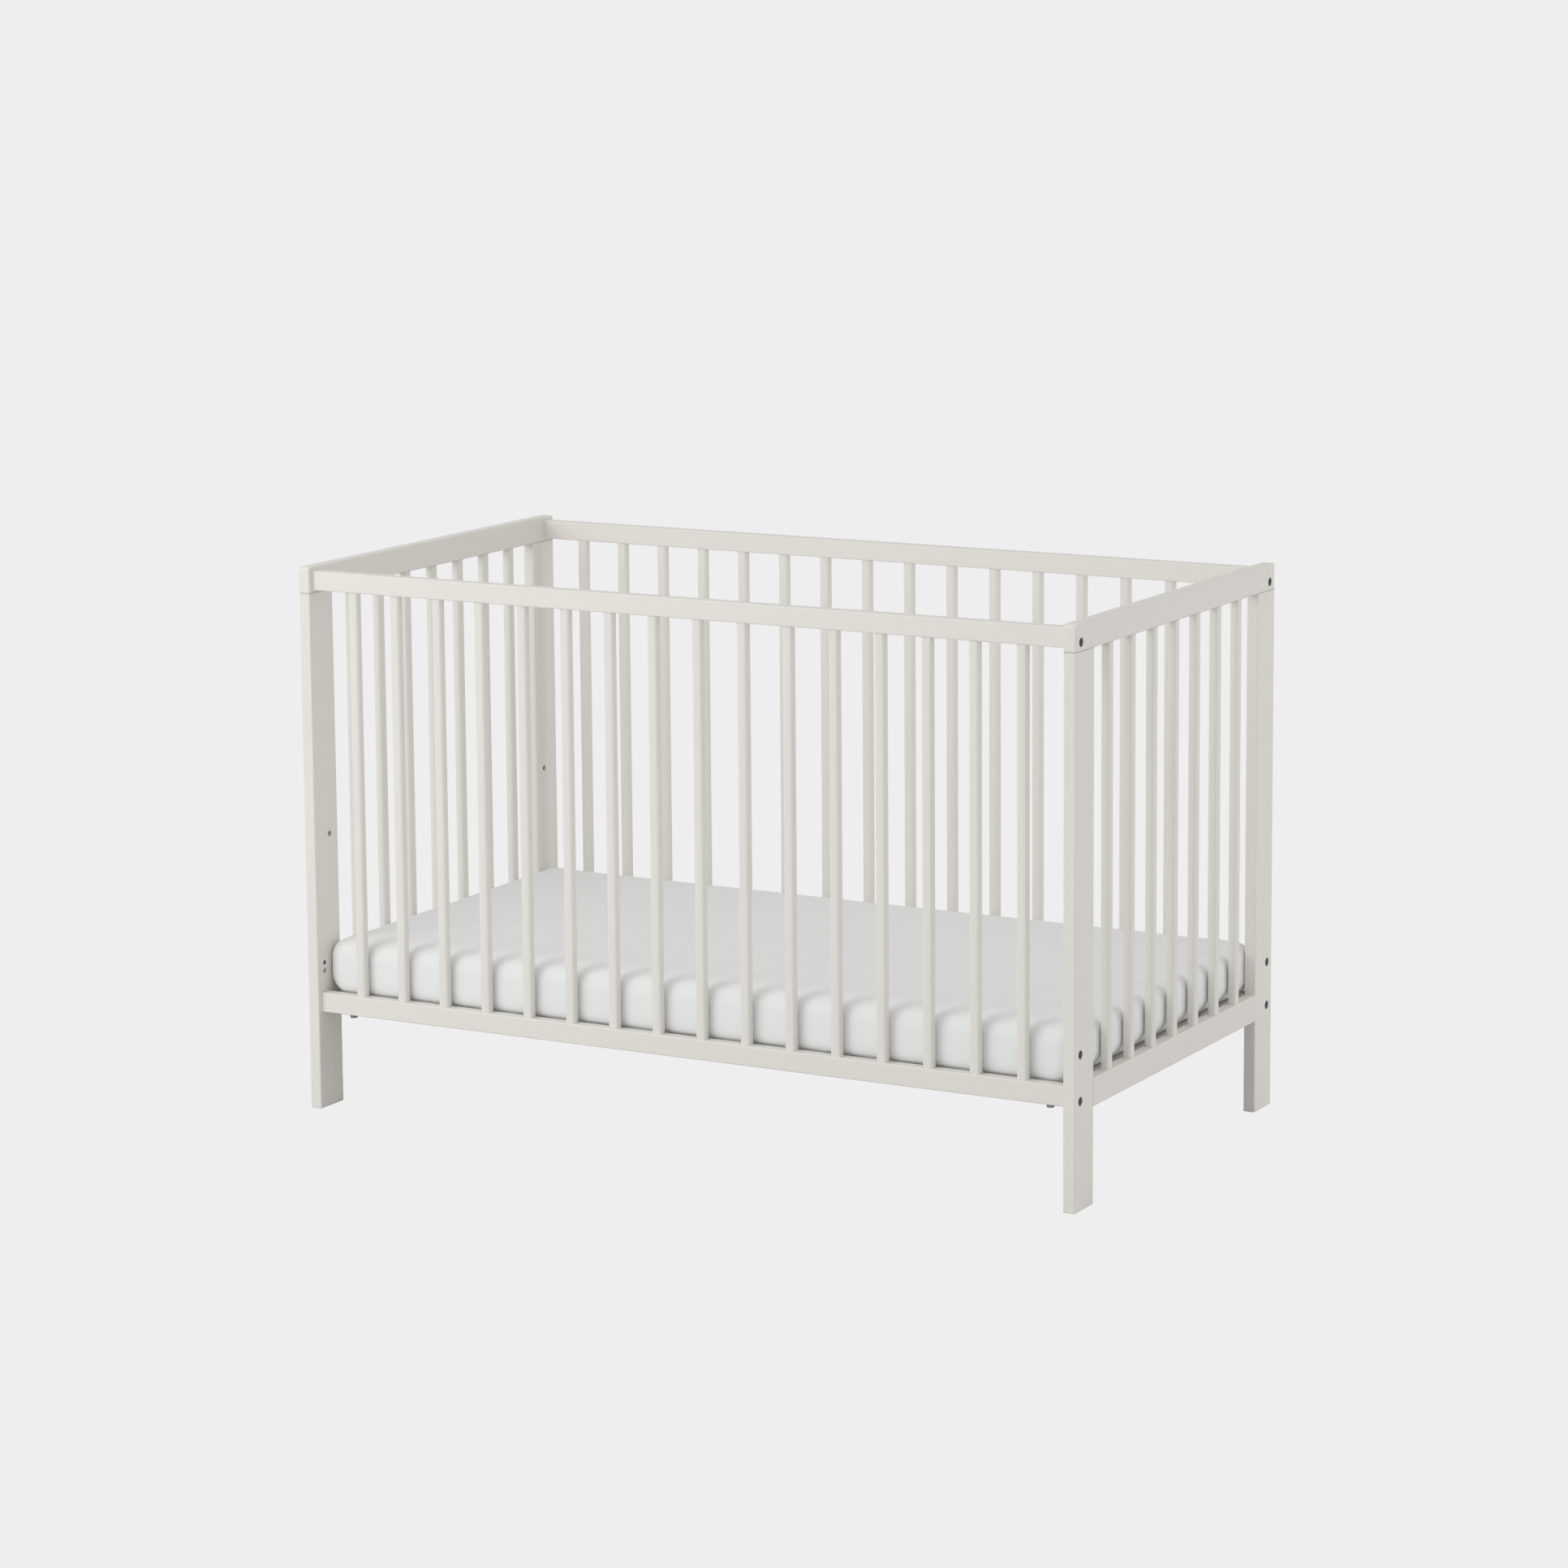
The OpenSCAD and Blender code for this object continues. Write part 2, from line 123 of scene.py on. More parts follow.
bpy.ops.mesh.primitive_plane_add(size=30)
floor = bpy.context.object
floor.name = "studio_floor"
pale = bpy.data.materials.new("pale_floor")
pale.use_nodes = True
tree = pale.node_tree
tree.nodes.clear()
seen, lit = glow(tree, "ShaderNodeEmission", BACKDROP), glow(tree, "ShaderNodeBsdfDiffuse", FLOOR)
mixed = seen_or_lit(tree, seen, lit)
tree.links.new(mixed.outputs[0], tree.nodes.new("ShaderNodeOutputMaterial").inputs["Surface"])
floor.data.materials.append(pale)


def lamp(name, place, size, watts, aim=Vector((0, 0, 0.4))):
    """A square soft lamp that looks at a point near the crib's middle."""
    bpy.ops.object.light_add(type="AREA", location=place)
    light = bpy.context.object
    light.name = name
    light.data.size, light.data.energy = size, watts
    light.rotation_euler = (aim - Vector(place)).to_track_quat("-Z", "Y").to_euler()
    return light


lamp("front_panel", (-1.9, -3.4, 2.2), 2.4, 52)
lamp("low_right_panel", (3.2, 1.5, 0.3), 1.2, 18)
print("surround", SURROUND, "of full white; two soft lamps")

# %% [markdown]
# ## Shader maths as Python
# A finish is a chain of small sums on textures. Typed as nodes they are hard to read, so a wire stands
# for one output socket and adds a Math node for each sign in an expression. Anything else, from a noise
# texture to the final shader, comes from one method.


# %% Wires and finishes
class Wire:
    """One output socket of a finish's node tree, for use in Python expressions on plain values."""

    def __init__(self, finish, socket):
        self.finish, self.socket = finish, socket

    def sum_with(self, operation, first, second):
        return self.finish.node("ShaderNodeMath", {"operation": operation}, {0: first, 1: second})

    def __add__(self, other):
        return self.sum_with("ADD", self, other)

    def __abs__(self):
        return self.sum_with("ABSOLUTE", self, 0.0)

    def __sub__(self, other):
        return self.sum_with("SUBTRACT", self, other)

    def __rsub__(self, other):
        return self.sum_with("SUBTRACT", other, self)

    def __mul__(self, other):
        return self.sum_with("MULTIPLY", self, other)

    def __pow__(self, other):
        return self.sum_with("POWER", self, other)

    def sine(self):
        return self.sum_with("SINE", self, 0.0)

    __radd__, __rmul__ = __add__, __mul__


class Finish:
    """A new material with one Principled shader."""

    def __init__(self, name, **shader):
        self.material = bpy.data.materials.new(name)
        self.material.use_nodes = True
        self.tree = self.material.node_tree
        self.tree.nodes.clear()
        self.shader = self.tree.nodes.new("ShaderNodeBsdfPrincipled")
        output = self.tree.nodes.new("ShaderNodeOutputMaterial")
        self.tree.links.new(self.shader.outputs[0], output.inputs["Surface"])
        self.plug(self.shader, {k.replace("_", " "): v for k, v in shader.items()})
        self.place = self.node("ShaderNodeTexCoord", out="Object")

    def plug(self, node, sockets):
        for key, value in sockets.items():
            if isinstance(value, Wire):
                self.tree.links.new(value.socket, node.inputs[key])
            else:
                node.inputs[key].default_value = value

    def node(self, kind, settings=None, sockets=None, out=0):
        """Adds any node: its settings first, then the values or wires of its sockets."""
        node = self.tree.nodes.new(kind)
        for key, value in (settings or {}).items():
            if key == "stops":
                for element, (at, tone) in zip(node.color_ramp.elements, value):
                    element.position, element.color = at, (tone, tone, tone, 1)
            else:
                setattr(node, key, value)
        self.plug(node, sockets or {})
        return Wire(self, node.outputs[out])

    def split(self, vector):
        """The x, y and z of a vector, as three wires."""
        parts = self.node("ShaderNodeSeparateXYZ", sockets={0: vector}).socket.node
        return [Wire(self, parts.outputs[i]) for i in range(3)]

    def distance(self, first, second):
        """How far a pair of sums is from 0, 0."""
        return (first**2 + second**2) ** 0.5

    def stretched(self, scale):
        """The object's own coordinates, scaled by a different amount along each axis."""
        return self.node("ShaderNodeMapping", sockets={"Vector": self.place, "Scale": scale})

    def speckle(self, scale, detail=2.0, rough=0.5):
        """Noise from 0 to 1. scale is how many spots there are in a metre along each axis."""
        sockets = {"Vector": self.stretched(scale), "Scale": 1.0, "Detail": detail, "Roughness": rough}
        return self.node("ShaderNodeTexNoise", sockets=sockets)

    def steps(self, value, low, high):
        """0 below low, 1 above high, and a soft step between."""
        return self.node(
            "ShaderNodeMapRange",
            {"interpolation_type": "SMOOTHSTEP"},
            {"Value": value, "From Min": low, "From Max": high},
        )

    def tint(self, mask, first, second):
        """A colour that goes from the first to the second as the mask goes from 0 to 1."""
        first, second = ((*c, 1) if isinstance(c, tuple) else c for c in (first, second))
        return self.node("ShaderNodeMix", {"data_type": "RGBA"}, {0: mask, 6: first, 7: second}, out=2)

    def bump(self, height, depth, strength=1.0):
        """A Bump node for a height from 0 to 1 that stands for that depth in metres."""
        sockets = {"Height": height, "Distance": depth, "Strength": strength}
        return self.node("ShaderNodeBump", sockets=sockets)

    def surface(self, **sockets):
        self.plug(self.shader, {k.replace("_", " "): v for k, v in sockets.items()})
        return self.material


def along(axis, length_rate, width_rate):
    """A texture scale that is slow along a board's own axis (0, 1 or 2) and quick across it."""
    return tuple(length_rate if i == axis else width_rate for i in range(3))


print("wires carry + - * and powers")

# %% [markdown]
# ## Painted wood
# The boards are sprayed with a satin off-white. Under the paint the grain still lifts the surface a few
# hundredths of a millimetre, in long thin lines along each board, and the spray leaves a fine orange
# peel. The tone drifts by a percent or so from place to place. One finish is made for each direction in
# which boards run, because the lines follow the board. Holes are drilled after painting, so raw wood shows
# inside them, darkened with painted shade as in a deep hole, and a fine line of painted shade marks the
# groove where the end top rails lie on the legs. Both are masks worked out from the distance to a drilled
# axis or to the joint.

# %% Off-white paint
PAINT = (0.845, 0.818, 0.772)
PAINT_DEEP = (0.812, 0.782, 0.732)
# Raw wood inside the drilled holes, darkened by painted shade of the holes.
RAW_WOOD_AND_SHADE = (0.30, 0.27, 0.27)
DRILLED = ((0.313, 0.152, 0.0068), (0.313, 0.216, 0.0068), (0.313, 0.774, 0.0068))  # y, z and radius
SKIN_FACES = (0.6028, 0.6192)  # just inside the two faces of an end panel, along x
JOINT_Z = 0.762
JOINT_SHADE = (0.34, 0.31, 0.28)
SOFT_EDGE = 0.3 * MM  # how quickly a mask on a board ends


def paint(name, axis):
    finish = Finish(name, IOR=1.46, Specular_IOR_Level=0.42)
    grain = finish.speckle(along(axis, 9, 520), detail=3.0)
    pores = finish.steps(finish.speckle(along(axis, 30, 1400)), 0.60, 0.78)
    peel = finish.speckle((420, 420, 420))
    drift = finish.speckle(along(axis, 1.5, 7))
    worn = finish.steps(drift, 0.25, 0.80) * 0.5 + finish.steps(grain, 0.35, 0.75) * 0.35
    x, y, z = (abs(part) for part in finish.split(finish.stretched((1, 1, 1))))
    # Inside the end panels' bores the raw wood gets painted shade.
    past_inner_face = finish.steps(x, SKIN_FACES[0] - SOFT_EDGE, SKIN_FACES[0])
    before_outer_face = finish.steps(x, SKIN_FACES[1] + SOFT_EDGE, SKIN_FACES[1])
    bored = 0.0
    for hole_y, hole_z, radius in DRILLED:
        far = finish.distance(y - hole_y, z - hole_z)
        bored = finish.steps(far, radius + 0.5 * MM, radius) + bored
    on_end_panel = finish.steps(x, 0.600, 0.601)
    # A thin line of painted shade in the groove where an end top rail sits on its leg.
    joint = finish.steps(abs(z - JOINT_Z), 1.1 * MM, 0.3 * MM) * on_end_panel * 0.55
    coated = finish.tint(joint, finish.tint(worn, PAINT, PAINT_DEEP), JOINT_SHADE)
    return finish.surface(
        Base_Color=finish.tint(past_inner_face * before_outer_face * bored, coated, RAW_WOOD_AND_SHADE),
        Roughness=0.36 + drift * 0.14 + pores * 0.08,
        Normal=finish.bump(grain * 0.55 + peel * 0.35 - pores * 0.25, 0.10 * MM),
    )


DIRECTIONS = ("lengthwise", "crosswise", "upright")
PAINTS = [paint(f"off_white_paint_{name}", axis) for axis, name in enumerate(DIRECTIONS)]


def runs_along(name):
    """The axis along which a board runs: its box's longest, unless the node holds a row of boards."""
    low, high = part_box(name)
    size = high - low
    rows = {"rear_slats": 2, "base_slats": 1}
    return rows.get(name) or max(range(3), key=lambda i: size[i])


def coat(name, material):
    """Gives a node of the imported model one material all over."""
    for slot in nodes[name].material_slots:
        slot.material = material


BOARDS = ("leg_f", "leg_r", "end_", "side_", "base_long")
painted = [n for n in nodes if "slat" in n or n.startswith(BOARDS)]
for name in painted:
    coat(name, PAINTS[runs_along(name)])
print("painted boards:", len(painted))

# %% [markdown]
# ## Beech pegs
# The locating dowels are plain beech, a pale pinkish wood with short darker flecks along the grain.


# %% Beech
def beech(name):
    finish = Finish(name, IOR=1.5, Specular_IOR_Level=0.3)
    flecks = finish.steps(finish.speckle((700, 160, 700)), 0.58, 0.70)
    fibre = finish.speckle((160, 900, 900), detail=3.0)
    body = finish.tint(fibre, (0.66, 0.46, 0.29), (0.57, 0.37, 0.22))
    return finish.surface(
        Base_Color=finish.tint(flecks * 0.6, body, (0.40, 0.22, 0.11)),
        Roughness=0.5 + fibre * 0.2,
        Normal=finish.bump(fibre, 0.08 * MM),
    )


BEECH = beech("beech")
for name in ("rail_dowels", "panel_dowels"):
    coat(name, BEECH)
print("pegs are beech")

# %% [markdown]
# ## Steel and brass
# The bolts, nuts and screws are turned from steel with a dark zinc plating: a deep grey metal with a faint
# blue. The inserts in the legs are pale brass, and their bores are painted nearly black as painted shade
# of the deep holes. Turning leaves fine scratches, and handling leaves patches that shine a little less.


# %% Plated steel and brass
# Nearly black painted shade for the deep bores of the brass inserts.
PAINTED_BORE_SHADE = (0.03, 0.03, 0.03)


def metal(name, bright, dull, rough, bores=()):
    """A metal. bores holds the y, z and radius of holes along x whose insides get painted shade, nearly
    black.
    """
    finish = Finish(name, Metallic=1.0)
    patches = finish.steps(finish.speckle((260, 260, 260), detail=4.0), 0.35, 0.70)
    scratches = finish.speckle((2600, 2600, 2600), detail=3.0)
    colour = finish.tint(patches, bright, dull)
    _, y, z = (abs(part) for part in finish.split(finish.stretched((1, 1, 1))))
    for bore_y, bore_z, radius in bores:
        far = finish.distance(y - bore_y, z - bore_z)
        # Inside each bore the metal gives way to painted shade.
        in_bore = finish.steps(far, radius + 0.2 * MM, radius - 0.2 * MM)
        colour = finish.tint(in_bore, colour, PAINTED_BORE_SHADE)
    return finish.surface(
        Base_Color=colour,
        Roughness=rough + patches * 0.12 + scratches * 0.08,
        Normal=finish.bump(scratches, 0.02 * MM, 0.6),
    )


STEEL = metal("zinc_plated_steel", (0.36, 0.36, 0.40), (0.24, 0.24, 0.28), 0.30)
STUD_AXES = ((0.293, 0.1495, 0.0035), (0.293, 0.4045, 0.0035))
BRASS = metal("turned_brass", (0.80, 0.70, 0.52), (0.66, 0.56, 0.40), 0.34, STUD_AXES)
print("two metals")

# %% [markdown]
# ## Working by hand, in code
# Each piece of hardware is made as on a lathe: one point is drawn out into an outline, and the outline is
# spun about its axis. The helpers below add a primitive with nothing else selected, open it in edit mode,
# and pick faces or edges by where they are.


# %% Modelling helpers
def start(name, add, **settings):
    """Adds a primitive, alone selected, and names it."""
    bpy.ops.object.select_all(action="DESELECT")
    add(**settings)
    piece = bpy.context.object
    piece.name = piece.data.name = name
    return piece


def pick(piece):
    """Selects one object and makes it the active one."""
    bpy.ops.object.select_all(action="DESELECT")
    piece.select_set(True)
    bpy.context.view_layer.objects.active = piece


@contextmanager
def editing(piece, kind="FACE"):
    """Edit mode with nothing selected, and back to object mode at the end."""
    pick(piece)
    bpy.ops.object.mode_set(mode="EDIT")
    bpy.ops.mesh.select_mode(type=kind)
    bpy.ops.mesh.select_all(action="DESELECT")
    yield bmesh.from_edit_mesh(piece.data)
    bpy.ops.object.mode_set(mode="OBJECT")


def choose(piece, mesh, test):
    """Selects the faces whose middle and normal pass the test, and says how many."""
    for face in mesh.faces:
        face.select_set(bool(test(face.calc_center_median(), face.normal)))
    bmesh.update_edit_mesh(piece.data)
    return sum(face.select for face in mesh.faces)


def settle(piece):
    """Puts an object's place, turn and size into its mesh."""
    pick(piece)
    bpy.ops.object.transform_apply(location=True, rotation=True, scale=True)
    return piece


def finish_with(piece, kind, **settings):
    """Adds a modifier, sets it and applies it."""
    pick(piece)
    modifier = piece.modifiers.new(kind.lower(), kind)
    for key, value in settings.items():
        setattr(modifier, key, value)
    bpy.ops.object.modifier_apply(modifier=modifier.name)
    return piece


def cut(piece, tool):
    """Cuts the tool's shape out of a piece, and throws the tool away."""
    settle(tool)
    finish_with(piece, "BOOLEAN", operation="DIFFERENCE", solver="EXACT", object=tool)
    bpy.data.objects.remove(tool)
    return piece


def turned(name, outline, steps=24):
    """Turns an outline of (radius, height) points, in millimetres, about the z axis."""
    points = [Vector((r, 0, h)) * MM for r, h in outline]
    piece = start(name, bpy.ops.mesh.primitive_plane_add, size=MM)
    with editing(piece, "VERT") as mesh:
        bpy.ops.mesh.select_all(action="SELECT")
        bpy.ops.mesh.merge(type="CENTER")
        bpy.ops.transform.translate(value=points[0])
        for here, there in zip(points, points[1:]):
            bpy.ops.mesh.extrude_vertices_move(TRANSFORM_OT_translate={"value": there - here})
        bpy.ops.mesh.select_all(action="SELECT")
        bpy.ops.mesh.spin(steps=steps, angle=math.tau, center=(0, 0, 0), axis=(0, 0, 1))
        bpy.ops.mesh.select_all(action="SELECT")
        bpy.ops.mesh.remove_doubles(threshold=0.02 * MM)
        bpy.ops.mesh.normals_make_consistent(inside=False)
    return piece


def thread(low, high, crest, depth, pitch):
    """An outline's ridges of a screw thread, from one height to another."""
    count = int(round((high - low) / pitch))
    step = (high - low) / count
    points = []
    for i in range(count):
        base = low + i * step
        points += [(crest - depth, base), (crest, base + 0.4 * step), (crest, base + 0.6 * step)]
    return points + [(crest - depth, high)]


def smooth(piece, angle=35):
    """Smooth shading that leaves edges sharper than the angle crisp."""
    pick(piece)
    bpy.ops.object.shade_smooth_by_angle(angle=math.radians(angle))
    return piece


def repeat(master, name, places):
    """Copies a finished piece to each place, each copy with its own mesh, and removes the first one."""
    copies = []
    for i, place in enumerate(places):
        mesh = master.data.copy()
        mesh.transform(place)
        copy = bpy.data.objects.new(f"{name}_{i + 1:02d}", mesh)
        scene.collection.objects.link(copy)
        copies.append(copy)
    bpy.data.objects.remove(master)
    return copies


def fit_out(pieces, body, slot, material, *stands_for):
    """Finish, body and replaced nodes for new pieces. slot is not used."""
    for piece in pieces:
        piece.data.materials.clear()
        piece.data.materials.append(material)
        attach(piece, body)
        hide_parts(*stands_for)
    print(pieces[0].name, "and the rest:", len(pieces), "of", len(pieces[0].data.polygons), "faces")


def facing(direction):
    """A turn that points a piece's z axis in a direction."""
    return Vector(direction).to_track_quat("Z", "Y").to_matrix().to_4x4()


# %% [markdown]
# ## Bolts
# A rail bolt is an M6 with a low round head and a hex socket. Its head sinks 5 mm below the leg's face.
# The head's rim is rounded, the socket has a small lead-in, and the thread runs along the whole shank.
# The lathe outline gives all of that but the socket, which is cut out with a six-sided tool.

# %% Bolt maker
BOLT_R, HEAD_R, HEAD_H, BOLT_LENGTH = 3.0, 5.5, 5.0, 63.0
SOCKET, SOCKET_DEEP = 5.0, 3.0  # across its flats, and its depth
THREAD_DEPTH, PITCH = 0.55, 1.0


def bolt(name, length):
    """A bolt with the underside of its head at z = 0 and its tip up."""
    rim = [(HEAD_R - 1.1, 0), (HEAD_R - 0.5, 0.2), (HEAD_R - 0.15, 0.6), (HEAD_R, 1.2)]
    outline = [(0, -HEAD_H)] + [(r, h - HEAD_H) for r, h in rim] + [(HEAD_R, -0.4), (HEAD_R - 0.3, 0)]
    outline += thread(0, length - 1, BOLT_R, THREAD_DEPTH, PITCH)
    outline += [(1.9, length), (0, length)]
    piece = turned(name, outline)
    radius = SOCKET / 2 / math.cos(math.pi / 6) * MM
    hexagon = start(
        "socket_tool", bpy.ops.mesh.primitive_cylinder_add,
        vertices=6, radius=radius, depth=2 * SOCKET_DEEP * MM,
    )
    hexagon.location.z = -HEAD_H * MM
    cut(piece, hexagon)
    lead = start(
        "lead_tool", bpy.ops.mesh.primitive_cone_add,
        vertices=24, radius1=radius + 0.9 * MM, radius2=radius - 0.3 * MM, depth=1.2 * MM,
    )
    lead.location.z = -HEAD_H * MM
    cut(piece, lead)
    return smooth(piece)


low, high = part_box("rail_bolts")
seat_x = high.x - HEAD_H * MM
rows_y = (low.y + HEAD_R * MM, high.y - HEAD_R * MM)
rows_z = (low.z + HEAD_R * MM, high.z - HEAD_R * MM)
ends = ((-1, 1), (1, -1))
rail_bolt_places = [
    Matrix.Translation((side * seat_x, y, z)) @ facing((inward, 0, 0))
    for side, inward in ends for y in rows_y for z in rows_z
]
fit_out(
    repeat(bolt("rail_bolt", BOLT_LENGTH), "rail_bolt", rail_bolt_places),
    "frame", "zinc_steel", STEEL, "rail_bolts",
)
print("rail bolts", BOLT_LENGTH, "mm")

# %% [markdown]
# ## Nuts and studs
# A barrel nut is a short steel bar with a threaded cross hole and a screwdriver slot that shows which way
# the hole points. The side rails' nuts hide in holes drilled up from below. The base hangs on four studs:
# each is screwed into a leg, enters the end of a long rail, and is locked there by a thicker nut that is
# turned from below and stands out under the rail.


# %% Cross nuts
NUT_EDGE, SLOT, CROSS_HOLE_R = 0.5, 1.2, 2.95  # SLOT is the screwdriver slot's width and its depth


def cross_nut(name, length, radius, hole_z):
    """An upright nut with its slotted end on z = 0 and its cross hole along x."""
    rim = radius - NUT_EDGE
    side = [(radius, NUT_EDGE), (radius, length - NUT_EDGE)]
    piece = turned(name, [(0, 0), (rim, 0)] + side + [(rim, length), (0, length)])
    slot = start("slot_tool", bpy.ops.mesh.primitive_cube_add, size=1)
    slot.scale = (3 * radius * MM, SLOT * MM, 2 * SLOT * MM)
    cut(piece, slot)
    hole = start(
        "hole_tool", bpy.ops.mesh.primitive_cylinder_add,
        vertices=24, radius=CROSS_HOLE_R * MM, depth=3 * radius * MM,
    )
    hole.rotation_euler.y = math.pi / 2
    hole.location.z = hole_z * MM
    cut(piece, hole)
    return smooth(piece)


def corners(name, radius):
    """A node's box, and the x and y of the four upright axes near its corners."""
    low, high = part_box(name)
    x, y = high.x - radius * MM, high.y - radius * MM
    return low, high, [(side * x, front * y) for side in (-1, 1) for front in (-1, 1)]


NUT_R, NUT_LENGTH, LOCK_R = 5.0, 14.0, 5.5
_, _, places = corners("rail_barrel_nuts", NUT_R)
nut_places = [Matrix.Translation((x, y, z - NUT_LENGTH / 2 * MM)) for x, y in places for z in rows_z]
fit_out(
    repeat(cross_nut("nut", NUT_LENGTH, NUT_R, NUT_LENGTH / 2), "barrel_nut", nut_places),
    "frame", "zinc_steel", STEEL, "rail_barrel_nuts",
)

low, high, places = corners("base_lock_nuts", LOCK_R)
stud_low, stud_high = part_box("base_studs")
stud_z = (stud_low.z + stud_high.z) / 2
lock_places = [Matrix.Translation((x, y, low.z)) for x, y in places]
lock = cross_nut("lock", (high.z - low.z) / MM, LOCK_R, (stud_z - low.z) / MM)
fit_out(repeat(lock, "lock_nut", lock_places), "frame", "zinc_steel", STEEL, "base_lock_nuts")


# %% Studs
STUD_LENGTH, GROOVE_R = 49.7, 2.1


def stud(name, length):
    """A stud with its threaded end at z = 0, a plain shank, and a groove for the lock nut near its end."""
    outline = [(0, 0), (2.3, 0)] + thread(0.6, 11.6, BOLT_R, THREAD_DEPTH, PITCH)
    outline += [(BOLT_R, 12), (BOLT_R, length - 7)]
    outline += [(GROOVE_R, length - 6), (GROOVE_R, length - 3), (BOLT_R, length - 2.4)]
    return smooth(turned(name, outline + [(BOLT_R, length - 0.5), (2.5, length), (0, length)]))


stud_places = [
    Matrix.Translation((side * stud_high.x, y, stud_z)) @ facing((-side, 0, 0))
    for side in (-1, 1) for y in (stud_low.y + BOLT_R * MM, stud_high.y - BOLT_R * MM)
]
fit_out(
    repeat(stud("stud", STUD_LENGTH), "base_stud", stud_places),
    "frame", "zinc_steel", STEEL, "base_studs",
)

# %% Brass inserts
low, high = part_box("leg_inserts")
insert_r, insert_length = 4.5, 12.0
ring = thread(1.2, insert_length - 0.6, 3.45, -0.4, 1.0)[::-1]
wall = thread(0.8, insert_length - 0.6, insert_r, 0.5, 1.6)
mouth = [(3.7, 0.3), (4.2, 0), (insert_r - 0.1, 0.3)]
outline = mouth + wall + [(3.9, insert_length)] + ring + mouth[:1]
insert_places = [
    Matrix.Translation((side * (high.x - insert_length * MM), y, z)) @ facing((side, 0, 0))
    for side in (-1, 1)
    for y in (low.y + insert_r * MM, high.y - insert_r * MM)
    for z in (low.z + insert_r * MM, high.z - insert_r * MM)
]
fit_out(
    repeat(smooth(turned("insert", outline)), "leg_insert", insert_places),
    "frame", "brass", BRASS, "leg_inserts",
)


# %% Base screws
def screw(name, length=22.0, shank=1.75, head=3.5):
    """A countersunk wood screw with its head's top at z = 0 and its point down."""
    outline = [(0, 0), (head - 0.15, 0), (head, -0.25), (shank, -head + shank)]
    outline += [(r, -h) for r, h in thread(2.4, length - 3.5, shank, 0.5, 1.8)]
    outline += [(0.7, -length + 1.4), (0, -length)]
    piece = turned(name, outline, steps=16)
    for turn in (0, math.pi / 2):
        blade = start(
            "recess_tool", bpy.ops.mesh.primitive_cone_add,
            vertices=4, radius1=0.6 * MM, radius2=2.6 * MM, depth=2.4 * MM,
        )
        blade.scale.y = 0.28
        blade.location.z = -0.7 * MM
        blade.rotation_euler.z = turn
        cut(piece, blade)
    return smooth(piece)


rail_rows = [(a.y + b.y) / 2 for a, b in (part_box("base_long_rail_front"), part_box("base_long_rail_rear"))]
_, slats_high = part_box("base_slats")
SLATS, SLAT_WIDTH, SCREW_OFF = 10, 70 * MM, 20 * MM  # SCREW_OFF is from a slat's middle inwards
last_x = slats_high.x - SLAT_WIDTH / 2
middles = [-last_x + 2 * last_x * i / (SLATS - 1) for i in range(SLATS)]
screw_places = [
    Matrix.Translation((x - math.copysign(SCREW_OFF, x), y, slats_high.z))
    for x in middles for y in rail_rows
]
fit_out(repeat(screw("screw"), "base_screw", screw_places), "frame", "zinc_steel", STEEL, "base_screws")

# %% [markdown]
# ## The mattress
# A crib mattress is a foam block in a stretch cover: flat in the middle, rounded at its edges, and fuller
# at half height. Inflating a cloth shell gives that look better than bevels do. The block becomes an even
# net of quads and is blown up for twenty frames, and each point's move is limited, so that the block keeps
# its size. The wide faces swell most and draw the sides in, so the block starts low, and long and wide.

# %% Foam block
soft_low, soft_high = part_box("fitted_sheet")
SKIN = 1.2 * MM  # from the block to the middle of the sheet's cloth
SWELL = 3.6 * MM  # the most that a point may move
UNDER = 2.1 * MM  # room for the gathered cloth below
TOP_ROOM = 4.6 * MM  # the block starts this far below the sheet's top
SIDE_SPARE = 3.6 * MM  # and this far past its sides, which are then drawn in until they touch the slats
CLOTH_ROOM = 2.0 * MM  # what the sheet needs above the swollen block
TOP_R = 19 * MM
END_R, SIDE_R = 30 * MM, 14 * MM  # the lower edges: round at the ends, full along the side panels
VOXEL = 7.5 * MM
spare = Vector((SIDE_SPARE, SIDE_SPARE, 0))
block_low = soft_low - spare + Vector((0, 0, UNDER))
block_high = soft_high + spare - Vector((0, 0, TOP_ROOM))

mattress = start(
    "mattress_block", bpy.ops.mesh.primitive_cube_add, size=1,
    location=(block_low + block_high) / 2, scale=block_high - block_low,
)
settle(mattress)
finish_with(mattress, "BEVEL", width=TOP_R, segments=6, limit_method="NONE")
finish_with(mattress, "REMESH", mode="VOXEL", voxel_size=VOXEL)
print("net of", len(mattress.data.polygons), "quads")


def points_of(mesh):
    """A mesh's vertices as rows of x, y and z."""
    flat = np.empty(len(mesh.vertices) * 3, np.float32)
    mesh.vertices.foreach_get("co", flat)
    return flat.reshape(-1, 3).astype(float)


def put_points(mesh, points):
    """Moves a mesh's vertices to those rows."""
    mesh.vertices.foreach_set("co", points.astype(np.float32).ravel())
    mesh.update()


